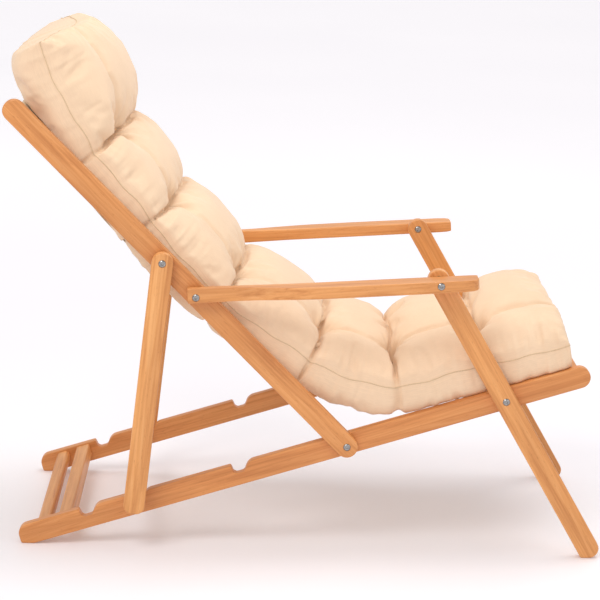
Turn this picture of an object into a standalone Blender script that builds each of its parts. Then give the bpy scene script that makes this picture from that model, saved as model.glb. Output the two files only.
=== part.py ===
"""Folding deck chair: beech frame, sleeve-nut pivots, canvas sling and tufted cushion.

Axes: +X runs to the front of the chair, +Y to the sitter's left, +Z up.
The origin is on the floor, midway along the frame and midway across it.
Metres throughout. Angles are in degrees, anticlockwise as seen from the right-hand side.
"""

import math

import bmesh
import bpy
from mathutils import Matrix, Vector

# --- driving dimensions -------------------------------------------------------------
TIMBER = 0.020          # thickness of every rail, leg, stile and prop
GAP = 0.0016            # running gap between two timbers, filled by a washer
CLEAR = 0.0003          # gap left between faces that touch
INSIDE = 0.220          # centre plane to the inner face of a base rail
RAIL_HALF = 0.020       # half the width of a base rail
STILE_HALF = 0.020
LEG_HALF = 0.020
PROP_HALF = 0.0195
EDGE = 0.0022           # rounding along timber edges

BASE_ANGLE = 17.7       # slope of the base rails
BACK_ANGLE = 135.3      # slope of the back stiles
PIVOT_X = 0.6018        # back pivot, measured from the rear of the layout
PIVOT_Z = 0.2043
LAYOUT_CENTRE = 0.523634  # layout X that becomes X = 0

PIVOT_TO_LEG = 0.304    # along the base rail, back pivot to leg pivot
PIVOT_TO_ARM = 0.397    # along the stile, back pivot to arm pivot
LEG_TO_ARM = 0.261      # along the leg, leg pivot to arm pivot
ARM_SPAN = 0.440        # along the arm, stile pivot to leg pivot
PIVOT_TO_PROP = 0.4835  # along the stile, back pivot to prop pivot

STILE_END = 0.861       # back pivot to the centre of the stile's round top
RAIL_FRONT = 0.447      # back pivot to the centre of the rail's round front end
RAIL_REAR = 0.632       # back pivot to the rail's rear end face
ARM_SECTION_SIDES = 3   # points round each eased edge of an arm
# arm sections: distance from the stile pivot, underside, top, width across
ARM_SECTIONS = (
    (-0.015, -0.0105, 0.0170, 0.020),
    (0.070, -0.0105, 0.0150, 0.020),
    (0.110, -0.0103, 0.0138, 0.026),
    (0.170, -0.0100, 0.0122, 0.041),
    (0.215, -0.0104, 0.0116, 0.047),
    (0.300, -0.0112, 0.0105, 0.050),
    (0.482, -0.0129, 0.0082, 0.050),
    (0.499, -0.0126, 0.0079, 0.0475),
    (0.506, -0.0118, 0.0076, 0.043),
    (0.509, -0.0108, 0.0070, 0.037),
)
ARM_EDGE = 0.0025
PROP_END = 0.020        # prop beyond its bar

NOTCHES = (-0.4986, -0.403, -0.2045)   # along the rail from the back pivot
SEAT_NOTCH = 1                         # the notch that holds the bar
NOTCH_FLOOR = 0.003                    # above the rail's centre line
# corners of a notch: distance ahead of its position, height, corner radius
NOTCH_SHAPE = (
    (0.0220, RAIL_HALF, 0.0200),
    (0.0090, NOTCH_FLOOR, 0.0080),
    (-0.0095, NOTCH_FLOOR, 0.0080),
    (-0.0120, RAIL_HALF, 0.0035),
)
BAR_RADIUS = 0.0098
BAR_TENON = 0.007

SHANK_RADIUS = 0.003
SLEEVE_RADIUS = 0.0045
HOLE_SLACK = 0.0006
HEAD_RADIUS = 0.0065
HEAD_HEIGHT = 0.0022
HEAD_RECESS = 0.0016    # counterbore under each bolt head and nut flange
HEX_RADIUS = 0.0026
WASHER_RADIUS = 0.009
WASHER_THICKNESS = 0.001
ROUND_SIDES = 16

TENON_DEPTH = 0.012
TENON_INSET = 0.0045
MORTISE_SLACK = 0.0004

CLOTH_HALF = 0.212      # half the sling's width
CLOTH_THICKNESS = 0.002
CUSHION_HALF = 0.230
CUSHION_EDGE = 0.008
CUSHION_SHARP = 60.0    # edges of the padded blocks sharper than this stay sharp

WOOD = ((0.62, 0.29, 0.10), 0.42, 0.0)
STEEL = ((0.62, 0.62, 0.60), 0.28, 1.0)
CANVAS = ((0.80, 0.68, 0.50), 0.9, 0.0)
COTTON = ((0.86, 0.72, 0.52), 0.85, 0.0)

SIDES = {"right": -1.0, "left": 1.0}


# --- side-plane geometry ------------------------------------------------------------
def heading(degrees):
    """Unit vector (x, z) at an angle in the side plane."""
    return Vector((math.cos(math.radians(degrees)), math.sin(math.radians(degrees))))


def along(start, degrees, distance, offset=0.0):
    """Point at a distance along a heading, and at an offset to its left."""
    return start + heading(degrees) * distance + heading(degrees + 90.0) * offset


def circle_meet(a, radius_a, b, radius_b):
    """Upper point at radius_a from a and radius_b from b."""
    span = (b - a).length
    inward = (radius_a**2 - radius_b**2 + span**2) / (2.0 * span)
    height = math.sqrt(radius_a**2 - inward**2)
    axis = (b - a) / span
    return a + axis * inward + Vector((-axis.y, axis.x)) * height


def angle_of(start, end):
    """Heading from one point to another, in degrees."""
    return math.degrees(math.atan2(end.y - start.y, end.x - start.x))


BACK_PIVOT = Vector((PIVOT_X - LAYOUT_CENTRE, PIVOT_Z))
LEG_PIVOT = along(BACK_PIVOT, BASE_ANGLE, PIVOT_TO_LEG)
ARM_PIVOT = along(BACK_PIVOT, BACK_ANGLE, PIVOT_TO_ARM)
PROP_PIVOT = along(BACK_PIVOT, BACK_ANGLE, PIVOT_TO_PROP)
ARM_JOINT = circle_meet(ARM_PIVOT, ARM_SPAN, LEG_PIVOT, LEG_TO_ARM)
BAR_CENTRE = along(
    BACK_PIVOT, BASE_ANGLE, NOTCHES[SEAT_NOTCH], NOTCH_FLOOR + CLEAR + BAR_RADIUS
)

# distance of each timber layer's inner face from the centre plane
RAIL_LAYER = INSIDE
STILE_LAYER = RAIL_LAYER + TIMBER + GAP
ARM_LAYER = STILE_LAYER + TIMBER + GAP


# --- outlines -----------------------------------------------------------------------
def rounded(corners, sides_per_turn=28):
    """Polygon whose corners (point, radius) are replaced by arcs."""
    outline = []
    count = len(corners)
    for index, (corner, radius) in enumerate(corners):
        before = (corners[index - 1][0] - corner).normalized()
        after = (corners[(index + 1) % count][0] - corner).normalized()
        turn = math.pi - before.angle(after)
        if radius <= 0.0 or turn < 1e-4:
            outline.append(corner)
            continue
        reach = radius * math.tan(turn / 2.0)
        centre = corner + (before + after).normalized() * (radius / math.cos(turn / 2.0))
        first = corner + before * reach - centre
        last = corner + after * reach - centre
        steps = max(1, round(sides_per_turn * turn / (2.0 * math.pi)))
        sweep = math.atan2(first.x * last.y - first.y * last.x, first.dot(last))
        for step in range(steps + 1):
            swing = Matrix.Rotation(sweep * step / steps, 2)
            outline.append(centre + swing @ first)
    return outline


def bar_corners(start, degrees, near, far, half, near_radius, far_radius):
    """Rectangle along a heading, with a corner radius at each end."""
    return [
        (along(start, degrees, near, -half), near_radius),
        (along(start, degrees, far, -half), far_radius),
        (along(start, degrees, far, half), far_radius),
        (along(start, degrees, near, half), near_radius),
    ]


def floor_crossing(start, degrees, offset):
    """Point where a line beside a heading meets the floor."""
    edge = along(start, degrees, 0.0, offset)
    return edge - heading(degrees) * (edge.y / heading(degrees).y)


def notch_corners(position):
    """Bar notch in a rail's top edge: steep behind, ramped in front."""
    return [
        (along(BACK_PIVOT, BASE_ANGLE, position + ahead, height), radius)
        for ahead, height, radius in NOTCH_SHAPE
    ]


def base_rail_outline():
    """Base rail: floor cut at the rear, three notches, round front end."""
    heel = floor_crossing(BACK_PIVOT, BASE_ANGLE, -RAIL_HALF)
    end = along(BACK_PIVOT, BASE_ANGLE, -RAIL_REAR)
    down = heading(BASE_ANGLE - 90.0)
    toe = end + down * (end.y / -down.y)
    front = RAIL_FRONT + RAIL_HALF
    corners = [
        (heel, 0.004),
        (along(BACK_PIVOT, BASE_ANGLE, front, -RAIL_HALF), RAIL_HALF * 0.99),
        (along(BACK_PIVOT, BASE_ANGLE, front, RAIL_HALF), RAIL_HALF * 0.99),
    ]
    for position in reversed(NOTCHES):
        corners += notch_corners(position)
    corners += [
        (along(BACK_PIVOT, BASE_ANGLE, -RAIL_REAR, RAIL_HALF), 0.019),
        (toe, 0.004),
    ]
    return rounded(corners)


def stile_outline():
    """Back stile: a straight timber with round ends."""
    return rounded(
        bar_corners(
            BACK_PIVOT, BACK_ANGLE, -STILE_HALF, STILE_END + STILE_HALF,
            STILE_HALF, STILE_HALF * 0.99, STILE_HALF * 0.99,
        )
    )


def leg_outline():
    """Front leg: round top at the arm, foot cut level with the floor."""
    slope = angle_of(LEG_PIVOT, ARM_JOINT)
    top = LEG_TO_ARM + LEG_HALF
    return rounded(
        [
            (floor_crossing(LEG_PIVOT, slope, LEG_HALF), 0.004),
            (floor_crossing(LEG_PIVOT, slope, -LEG_HALF), 0.018),
            (along(LEG_PIVOT, slope, top, -LEG_HALF), LEG_HALF * 0.99),
            (along(LEG_PIVOT, slope, top, LEG_HALF), LEG_HALF * 0.99),
        ]
    )


def prop_outline():
    """Prop: a straight timber from the stile down past its bar, with round ends."""
    slope = angle_of(PROP_PIVOT, BAR_CENTRE)
    reach = (BAR_CENTRE - PROP_PIVOT).length + PROP_END
    return rounded(
        bar_corners(
            PROP_PIVOT, slope, -PROP_HALF, reach,
            PROP_HALF, PROP_HALF * 0.99, PROP_HALF * 0.8,
        )
    )


# --- mesh building ------------------------------------------------------------------
def make_material(name, colour, roughness, metallic):
    """Plain surface of one colour."""
    material = bpy.data.materials.new(name)
    material.use_nodes = True
    shader = material.node_tree.nodes["Principled BSDF"]
    shader.inputs["Base Color"].default_value = (*colour, 1.0)
    shader.inputs["Roughness"].default_value = roughness
    shader.inputs["Metallic"].default_value = metallic
    return material


def finish(name, mesh_data, origin, surface, sharp_angle=40.0):
    """Turn a bmesh in world coordinates into an object with its origin at a pivot."""
    bmesh.ops.recalc_face_normals(mesh_data, faces=mesh_data.faces)
    bmesh.ops.translate(mesh_data, verts=mesh_data.verts, vec=-origin)
    mesh = bpy.data.meshes.new(name)
    mesh_data.to_mesh(mesh)
    mesh_data.free()
    mesh.shade_smooth()
    mesh.set_sharp_from_angle(angle=math.radians(sharp_angle))
    item = bpy.data.objects.new(name, mesh)
    item.location = origin
    bpy.context.collection.objects.link(item)
    mesh.materials.append(make_material(name, *surface))
    return item


def extrude_outline(outline, low_y, high_y):
    """Prism of a side-plane outline between two Y planes."""
    mesh_data = bmesh.new()
    ring = [mesh_data.verts.new((point.x, low_y, point.y)) for point in outline]
    face = mesh_data.faces.new(ring)
    grown = bmesh.ops.extrude_face_region(mesh_data, geom=[face])
    moved = [item for item in grown["geom"] if isinstance(item, bmesh.types.BMVert)]
    bmesh.ops.translate(mesh_data, verts=moved, vec=(0.0, high_y - low_y, 0.0))
    return mesh_data


def ease_rims(mesh_data, low_y, high_y, width, segments=2):
    """Round the edges where a prism's flat faces meet its sides."""
    rims = [
        edge
        for edge in mesh_data.edges
        if abs(edge.verts[0].co.y - edge.verts[1].co.y) < 1e-7
        and min(abs(edge.verts[0].co.y - low_y), abs(edge.verts[0].co.y - high_y)) < 1e-7
    ]
    bmesh.ops.bevel(
        mesh_data, geom=rims, offset=width, segments=segments, profile=0.5, affect="EDGES"
    )


def lathe(profile, origin_xz, start_y, side, hexagon_rings=()):
    """Closed solid turned about Y from (distance outward, radius) pairs."""
    mesh_data = bmesh.new()
    rings = []
    for index, (outward, radius) in enumerate(profile):
        ring = []
        for step in range(ROUND_SIDES):
            turn = 2.0 * math.pi * step / ROUND_SIDES
            reach = radius
            if index in hexagon_rings:
                reach = radius / math.cos((turn + math.pi / 6.0) % (math.pi / 3.0) - math.pi / 6.0)
            x = origin_xz.x + reach * math.cos(turn)
            z = origin_xz.y + reach * math.sin(turn)
            ring.append(mesh_data.verts.new((x, start_y + side * outward, z)))
        rings.append(ring)
    for one, two in zip(rings, rings[1:]):
        for step in range(ROUND_SIDES):
            after = (step + 1) % ROUND_SIDES
            mesh_data.faces.new((one[step], one[after], two[after], two[step]))
    if (profile[0][0], profile[0][1]) == (profile[-1][0], profile[-1][1]):
        bmesh.ops.remove_doubles(mesh_data, verts=rings[0] + rings[-1], dist=1e-7)
    else:
        mesh_data.faces.new(rings[0])
        mesh_data.faces.new(list(reversed(rings[-1])))
    return mesh_data


def cut(item, cutter_name, cutter_data):
    """Subtract a hidden cutter from an object."""
    mesh = bpy.data.meshes.new(cutter_name)
    bmesh.ops.recalc_face_normals(cutter_data, faces=cutter_data.faces)
    cutter_data.to_mesh(mesh)
    cutter_data.free()
    cutter = bpy.data.objects.new(cutter_name, mesh)
    bpy.context.collection.objects.link(cutter)
    cutter.hide_render = True
    cutter.display_type = "WIRE"
    modifier = item.modifiers.new("holes", "BOOLEAN")
    modifier.operation = "DIFFERENCE"
    modifier.solver = "EXACT"
    modifier.object = cutter


def merge(parts):
    """Collect several bmeshes into one."""
    whole = bmesh.new()
    scratch = bpy.data.meshes.new("scratch")
    for part in parts:
        bmesh.ops.recalc_face_normals(part, faces=part.faces)
        part.to_mesh(scratch)
        whole.from_mesh(scratch)
        part.free()
    bpy.data.meshes.remove(scratch)
    return whole


def drill(centre, radius, layer, thickness, side, head_outside):
    """Cutter for a bolt hole across Y, with the counterbore its head or flange sits in."""
    wide = HEAD_RADIUS + HOLE_SLACK
    start = layer - TIMBER
    stop = layer + thickness + TIMBER
    if head_outside:
        step = layer + thickness - HEAD_RECESS
        profile = [(start, radius), (step, radius), (step, wide), (stop, wide)]
    else:
        step = layer + HEAD_RECESS
        profile = [(start, wide), (step, wide), (step, radius), (stop, radius)]
    return lathe(profile, centre, 0.0, side)


# --- timbers ------------------------------------------------------------------------
def timber(name, outline, layer, side, pivot, holes, sockets=()):
    """One timber with eased edges, its bolt holes and its blind sockets."""
    low_y, high_y = sorted((side * layer, side * (layer + TIMBER)))
    mesh_data = extrude_outline(outline, low_y, high_y)
    ease_rims(mesh_data, low_y, high_y, EDGE)
    item = finish(name, mesh_data, Vector((pivot.x, 0.0, pivot.y)), WOOD)
    cutters = [
        drill(centre, radius + HOLE_SLACK, layer, TIMBER, side, head_outside)
        for centre, radius, head_outside in holes
    ]
    cut(item, name + "_cutter", merge(cutters + list(sockets)))
    return item


def arm_ring(mesh_data, section, slope, side, inset=0.0):
    """Rounded rectangular ring of an arm at one section."""
    distance, low, high, width = section
    corners = (
        (ARM_LAYER + inset, low + inset, 180.0),
        (ARM_LAYER + width - inset, low + inset, 270.0),
        (ARM_LAYER + width - inset, high - inset, 0.0),
        (ARM_LAYER + inset, high - inset, 90.0),
    )
    ring = []
    for across, height, first in corners:
        middle_y = across + (ARM_EDGE if first in (180.0, 90.0) else -ARM_EDGE)
        middle_z = height + (ARM_EDGE if first in (180.0, 270.0) else -ARM_EDGE)
        for step in range(ARM_SECTION_SIDES):
            turn = math.radians(first + 90.0 * step / (ARM_SECTION_SIDES - 1))
            point = along(ARM_PIVOT, slope, distance, middle_z + ARM_EDGE * math.sin(turn))
            y = side * (middle_y + ARM_EDGE * math.cos(turn))
            ring.append(mesh_data.verts.new((point.x, y, point.y)))
    return ring


def build_arm(name, side):
    """Arm lofted along its length: thin at the stile, broad from the middle on."""
    slope = angle_of(ARM_PIVOT, ARM_JOINT)
    mesh_data = bmesh.new()
    rear = ARM_SECTIONS[0]
    rings = [arm_ring(mesh_data, rear, slope, side, EDGE * 0.6)]
    rings.append(arm_ring(mesh_data, (rear[0] + EDGE * 0.6, *rear[1:]), slope, side))
    rings += [arm_ring(mesh_data, section, slope, side) for section in ARM_SECTIONS[1:]]
    count = len(rings[0])
    for one, two in zip(rings, rings[1:]):
        for index in range(count):
            after = (index + 1) % count
            mesh_data.faces.new((one[index], one[after], two[after], two[index]))
    mesh_data.faces.new(rings[0])
    mesh_data.faces.new(rings[-1])
    item = finish(name, mesh_data, Vector((ARM_PIVOT.x, 0.0, ARM_PIVOT.y)), WOOD)
    holes = ((ARM_PIVOT, ARM_SECTIONS[0][3]), (ARM_JOINT, ARM_SECTIONS[6][3]))
    cutters = [
        drill(centre, SHANK_RADIUS + HOLE_SLACK, ARM_LAYER, width, side, True)
        for centre, width in holes
    ]
    cut(item, name + "_cutter", merge(cutters))


def mortise(centre, degrees, half_length, half_depth, side, layer):
    """Cutter for a bar's blind mortise in the inner face of a timber."""
    outline = [
        point
        for point, _ in bar_corners(
            centre, degrees, -half_length, half_length, half_depth, 0.0, 0.0
        )
    ]
    outer = layer + TENON_DEPTH + CLEAR
    low_y, high_y = sorted((side * (layer - TENON_DEPTH), side * outer))
    return extrude_outline(outline, low_y, high_y)


class CrossBar:
    """Bar between two timbers, with a tenon at each end."""

    def __init__(self, name, centre, degrees, half_length, half_depth, layer, ease):
        self.name = name
        self.centre = centre
        self.degrees = degrees
        self.half_length = half_length
        self.half_depth = half_depth
        self.layer = layer
        self.ease = ease

    def sockets(self, side):
        """Mortise cutter in the timber on one side."""
        return mortise(
            self.centre, self.degrees,
            self.half_length - TENON_INSET + MORTISE_SLACK,
            self.half_depth - TENON_INSET + MORTISE_SLACK,
            side, self.layer,
        )

    def build(self):
        """Bar with eased long edges and stepped-down ends."""
        corners = bar_corners(
            self.centre, self.degrees, -self.half_length, self.half_length,
            self.half_depth, self.ease, self.ease,
        )
        shoulder = self.layer - CLEAR
        mesh_data = extrude_outline(rounded(corners, 16), -shoulder, shoulder)
        tenon = [
            point
            for point, _ in bar_corners(
                self.centre, self.degrees,
                -self.half_length + TENON_INSET, self.half_length - TENON_INSET,
                self.half_depth - TENON_INSET, 0.0, 0.0,
            )
        ]
        for side in SIDES.values():
            add_tenon(mesh_data, tenon, side * shoulder, side * (self.layer + TENON_DEPTH))
        origin = Vector((self.centre.x, 0.0, self.centre.y))
        return finish(self.name, mesh_data, origin, WOOD)


def add_tenon(mesh_data, outline, root_y, tip_y):
    """Grow a rectangular tenon out of the end face at root_y."""
    end = next(
        face for face in mesh_data.faces
        if all(abs(vert.co.y - root_y) < 1e-7 for vert in face.verts)
    )
    rim = list(end.verts)
    mesh_data.faces.remove(end)
    root = [mesh_data.verts.new((point.x, root_y, point.y)) for point in outline]
    tip = [mesh_data.verts.new((point.x, tip_y, point.y)) for point in outline]
    for index in range(len(outline)):
        after = (index + 1) % len(outline)
        mesh_data.faces.new((root[index], root[after], tip[after], tip[index]))
    mesh_data.faces.new(tip)
    edges = [
        mesh_data.edges.get((rim[i], rim[(i + 1) % len(rim)])) for i in range(len(rim))
    ]
    edges += [
        mesh_data.edges.get((root[i], root[(i + 1) % len(root)])) for i in range(len(root))
    ]
    bmesh.ops.triangle_fill(mesh_data, edges=edges, use_beauty=True)


def cross_bars():
    """The bars that tie each pair of timbers together."""
    return {
        "rear_rail_bar": CrossBar(
            "rear_rail_bar", along(BACK_PIVOT, BASE_ANGLE, -0.583, 0.005),
            BASE_ANGLE, 0.0135, 0.011, RAIL_LAYER, 0.009,
        ),
        "rear_rail_slat": CrossBar(
            "rear_rail_slat", along(BACK_PIVOT, BASE_ANGLE, -0.539, 0.005),
            BASE_ANGLE, 0.0135, 0.012, RAIL_LAYER, 0.003,
        ),
        "front_rail_bar": CrossBar(
            "front_rail_bar", along(BACK_PIVOT, BASE_ANGLE, 0.434, 0.004),
            BASE_ANGLE, 0.0165, 0.011, RAIL_LAYER, 0.004,
        ),
        "top_back_bar": CrossBar(
            "top_back_bar", along(BACK_PIVOT, BACK_ANGLE, 0.838),
            BACK_ANGLE, 0.0165, 0.011, STILE_LAYER, 0.004,
        ),
    }


def build_timbers(bars):
    """All paired timbers, then the bars between them."""
    base_bars = ("rear_rail_bar", "rear_rail_slat", "front_rail_bar")
    for side_name, side in SIDES.items():
        timber(
            "base_rail_" + side_name, base_rail_outline(), RAIL_LAYER, side, BACK_PIVOT,
            [(BACK_PIVOT, SLEEVE_RADIUS, False), (LEG_PIVOT, SLEEVE_RADIUS, False)],
            [bars[name].sockets(side) for name in base_bars],
        )
        timber(
            "back_stile_" + side_name, stile_outline(), STILE_LAYER, side, BACK_PIVOT,
            [
                (BACK_PIVOT, SHANK_RADIUS, True),
                (ARM_PIVOT, SLEEVE_RADIUS, False),
                (PROP_PIVOT, SLEEVE_RADIUS, False),
            ],
            [bars["top_back_bar"].sockets(side)],
        )
        timber(
            "front_leg_" + side_name, leg_outline(), STILE_LAYER, side, LEG_PIVOT,
            [(LEG_PIVOT, SHANK_RADIUS, True), (ARM_JOINT, SLEEVE_RADIUS, False)],
        )
        build_arm("arm_" + side_name, side)
        socket = lathe(
            [(0.0, BAR_TENON + MORTISE_SLACK),
             (2.0 * TENON_DEPTH + CLEAR, BAR_TENON + MORTISE_SLACK)],
            BAR_CENTRE, side * (ARM_LAYER - TENON_DEPTH), side,
        )
        timber(
            "prop_" + side_name, prop_outline(), ARM_LAYER, side, PROP_PIVOT,
            [(PROP_PIVOT, SHANK_RADIUS, True)], [socket],
        )
    for bar in bars.values():
        bar.build()


def build_prop_bar():
    """Round bar that joins the props and drops into the rail notches."""
    shoulder = ARM_LAYER - CLEAR
    tip = ARM_LAYER + TENON_DEPTH
    profile = [
        (-tip, BAR_TENON - 0.001),
        (-tip + 0.001, BAR_TENON),
        (-shoulder, BAR_TENON),
        (-shoulder, BAR_RADIUS),
        (shoulder, BAR_RADIUS),
        (shoulder, BAR_TENON),
        (tip - 0.001, BAR_TENON),
        (tip, BAR_TENON - 0.001),
    ]
    mesh_data = lathe(profile, BAR_CENTRE, 0.0, 1.0)
    finish("prop_bar", mesh_data, Vector((BAR_CENTRE.x, 0.0, BAR_CENTRE.y)), WOOD)


# --- pivots -------------------------------------------------------------------------
def build_bolt(name, centre, side, outer_layer, thickness, shank_past):
    """Round-headed hex-socket bolt through the outer timber of a pivot."""
    face = outer_layer + thickness - HEAD_RECESS + CLEAR
    tip = outer_layer - shank_past
    profile = [
        (tip, SHANK_RADIUS),
        (face, SHANK_RADIUS),
        (face, HEAD_RADIUS),
        (face + HEAD_HEIGHT * 0.5, HEAD_RADIUS * 0.97),
        (face + HEAD_HEIGHT, HEAD_RADIUS * 0.72),
        (face + HEAD_HEIGHT, HEX_RADIUS),
        (face + HEAD_HEIGHT * 0.15, HEX_RADIUS),
    ]
    mesh_data = lathe(profile, centre, 0.0, side, hexagon_rings=(5, 6))
    finish(name, mesh_data, Vector((centre.x, side * face, centre.y)), STEEL)


def build_sleeve(name, centre, side, inner_layer, mouth):
    """Sleeve nut: a flange on the inner timber face and a barrel through the timber."""
    face = inner_layer + HEAD_RECESS - CLEAR
    bore = SHANK_RADIUS + CLEAR
    blind = face + 0.004
    profile = [
        (mouth, bore),
        (blind, bore),
    ]
    outer = [
        (mouth, SLEEVE_RADIUS),
        (face, SLEEVE_RADIUS),
        (face, HEAD_RADIUS),
        (face - HEAD_HEIGHT * 0.5, HEAD_RADIUS * 0.97),
        (face - HEAD_HEIGHT, HEAD_RADIUS * 0.72),
        (face - HEAD_HEIGHT, HEX_RADIUS),
        (face - HEAD_HEIGHT * 0.15, HEX_RADIUS),
    ]
    turned = list(reversed(profile)) + outer
    last = len(turned) - 1
    mesh_data = lathe(turned, centre, 0.0, side, hexagon_rings=(last - 1, last))
    finish(name, mesh_data, Vector((centre.x, side * face, centre.y)), STEEL)


def build_washer(name, centre, side, outer_layer):
    """Plain washer in the running gap under an outer timber."""
    near = outer_layer - GAP / 2.0 - WASHER_THICKNESS / 2.0
    far = near + WASHER_THICKNESS
    bore = SLEEVE_RADIUS + HOLE_SLACK
    profile = [(near, bore), (near, WASHER_RADIUS), (far, WASHER_RADIUS), (far, bore)]
    mesh_data = lathe(profile + profile[:1], centre, 0.0, side)
    finish(name, mesh_data, Vector((centre.x, side * near, centre.y)), STEEL)


def build_pivots():
    """A bolt, sleeve nut and washer at each of the five pivots on each side."""
    engaged = TIMBER * 0.5
    pivots = (
        ("back", BACK_PIVOT, RAIL_LAYER, STILE_LAYER, TIMBER, engaged),
        ("leg", LEG_PIVOT, RAIL_LAYER, STILE_LAYER, TIMBER, engaged),
        ("arm_rear", ARM_PIVOT, STILE_LAYER, ARM_LAYER, ARM_SECTIONS[0][3], engaged),
        ("arm_front", ARM_JOINT, STILE_LAYER, ARM_LAYER, ARM_SECTIONS[6][3], -CLEAR),
        ("prop", PROP_PIVOT, STILE_LAYER, ARM_LAYER, TIMBER, engaged),
    )
    for side_name, side in SIDES.items():
        for name, centre, inner_layer, outer_layer, thickness, shank_past in pivots:
            build_bolt(
                f"{name}_bolt_{side_name}", centre, side, outer_layer, thickness, shank_past
            )
            build_sleeve(
                f"{name}_sleeve_nut_{side_name}", centre, side, inner_layer,
                outer_layer - CLEAR,
            )
            build_washer(f"{name}_washer_{side_name}", centre, side, outer_layer)


# --- soft parts ---------------------------------------------------------------------
# Points are (distance from the back pivot, offset to the sitter's side), in metres:
# along the stile for the back, and along the base rail for the seat.
SLING_BACK = (
    (0.100, 0.033), (0.200, 0.012), (0.300, -0.010), (0.390, -0.026), (0.480, -0.032),
    (0.600, -0.028), (0.700, -0.018), (0.780, -0.014), (0.8150, -0.0135), (0.8590, -0.0135),
    (0.8590, 0.0135), (0.8175, 0.0135),
)
SLING_SEAT = (
    (0.030, 0.056), (0.080, 0.042), (0.150, 0.028), (0.230, 0.0225), (0.320, 0.0215),
    (0.411, 0.0185), (0.4545, 0.0175), (0.4545, -0.0095), (0.4140, -0.0095),
)
BACK_UNDERSIDE = (
    (0.112, 0.034), (0.200, 0.0152), (0.300, -0.0068), (0.390, -0.0228), (0.480, -0.0288),
    (0.600, -0.0248), (0.700, -0.0148), (0.790, 0.004), (0.800, 0.0175), (0.880, 0.0175),
)
BACK_TOPSIDE = (
    (0.922, 0.050), (0.928, 0.100), (0.912, 0.140), (0.872, 0.168), (0.815, 0.170),
    (0.750, 0.142), (0.680, 0.120), (0.600, 0.114), (0.450, 0.106), (0.300, 0.100),
    (0.168, 0.112),
)
SEAT_UNDERSIDE = (
    (0.046, 0.058), (0.082, 0.046), (0.150, 0.032), (0.232, 0.0262), (0.322, 0.0252),
    (0.398, 0.0245),
)
SEAT_TOPSIDE = (
    (0.412, 0.055), (0.412, 0.105), (0.390, 0.130), (0.300, 0.136), (0.180, 0.140),
    (0.096, 0.165),
)


def beside_timber(points, degrees, flip):
    """Side-plane points from (along, offset) pairs on the sitter's side of a timber."""
    return [along(BACK_PIVOT, degrees, distance, flip * offset) for distance, offset in points]


def strip_outline(path, thickness):
    """Closed outline of constant thickness about an open path."""
    left, right = [], []
    for index, point in enumerate(path):
        before = path[max(index - 1, 0)]
        after = path[min(index + 1, len(path) - 1)]
        arrive = (point - before).normalized() if index else (after - point).normalized()
        leave = (after - point).normalized() if index < len(path) - 1 else arrive
        bisector = (arrive + leave).normalized()
        normal = Vector((-bisector.y, bisector.x))
        stretch = thickness / 2.0 / max(0.5, normal.dot(Vector((-leave.y, leave.x))))
        left.append(point + normal * stretch)
        right.append(point - normal * stretch)
    return left + right[::-1]


def build_soft_parts():
    """Plain solids for the sling and the cushion, each split where the back folds."""
    slings = (
        ("sling_back", SLING_BACK, BACK_ANGLE, -1.0),
        ("sling_seat", SLING_SEAT, BASE_ANGLE, 1.0),
    )
    for name, points, degrees, flip in slings:
        path = beside_timber(points, degrees, flip)
        outline = strip_outline(path, CLOTH_THICKNESS)
        mesh_data = extrude_outline(outline, -CLOTH_HALF, CLOTH_HALF)
        finish(name, mesh_data, Vector((BACK_PIVOT.x, 0.0, BACK_PIVOT.y)), CANVAS)
    build_cushion("cushion_back", BACK_UNDERSIDE + BACK_TOPSIDE, BACK_ANGLE, -1.0)
    build_cushion("cushion_seat", SEAT_UNDERSIDE + SEAT_TOPSIDE, BASE_ANGLE, 1.0)


def build_cushion(name, points, degrees, flip):
    """Plain padded block with eased sides."""
    outline = beside_timber(points, degrees, flip)
    mesh_data = extrude_outline(outline, -CUSHION_HALF, CUSHION_HALF)
    ease_rims(mesh_data, -CUSHION_HALF, CUSHION_HALF, CUSHION_EDGE, segments=1)
    origin = Vector((BACK_PIVOT.x, 0.0, BACK_PIVOT.y))
    finish(name, mesh_data, origin, COTTON, CUSHION_SHARP)


def main():
    """Build the whole chair in an empty scene."""
    for item in list(bpy.data.objects):
        bpy.data.objects.remove(item)
    bars = cross_bars()
    build_timbers(bars)
    build_prop_bar()
    build_pivots()
    build_soft_parts()


main()
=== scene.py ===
"""Looks for the folding deck chair: tufted cushion, canvas sling, beech and steel, studio."""

import math

import bmesh
import bpy
import numpy as np
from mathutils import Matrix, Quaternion, Vector


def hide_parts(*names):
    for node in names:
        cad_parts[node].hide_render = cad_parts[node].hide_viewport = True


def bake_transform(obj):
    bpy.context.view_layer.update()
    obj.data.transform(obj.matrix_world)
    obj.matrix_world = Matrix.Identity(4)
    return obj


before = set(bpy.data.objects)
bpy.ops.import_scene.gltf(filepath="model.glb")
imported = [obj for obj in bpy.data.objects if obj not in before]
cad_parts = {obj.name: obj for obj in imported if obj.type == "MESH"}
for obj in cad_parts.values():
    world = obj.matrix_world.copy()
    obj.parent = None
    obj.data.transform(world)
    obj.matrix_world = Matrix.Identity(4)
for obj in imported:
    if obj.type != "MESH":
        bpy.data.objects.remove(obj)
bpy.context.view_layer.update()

# --- the frame's own geometry, in metres and degrees --------------------------------
BACK_PIVOT = np.array([0.078166, 0.2043])
BASE_ANGLE = 17.7
BACK_ANGLE = 135.3
LEG_ANGLE = 120.7
ARM_ANGLE = 4.9
PROP_ANGLE = 84.4
RAIL_REST = 0.0211          # from a rail's centre line up to a cushion that lies on the rail
RAIL_REACH = 0.2185         # a point this far from the middle lies over a rail, with a margin
RAIL_FROM = 0.06            # and so does only a point this far forward of the back's pivot
TOP_BAR_AT = 0.827          # distance along the stiles of the middle of the top bar's stretch
TOP_BAR_REACH = 0.038       # half the length of that stretch
TOP_BAR_FADE = 0.03         # length beyond it over which the cushion may sink lower
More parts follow.
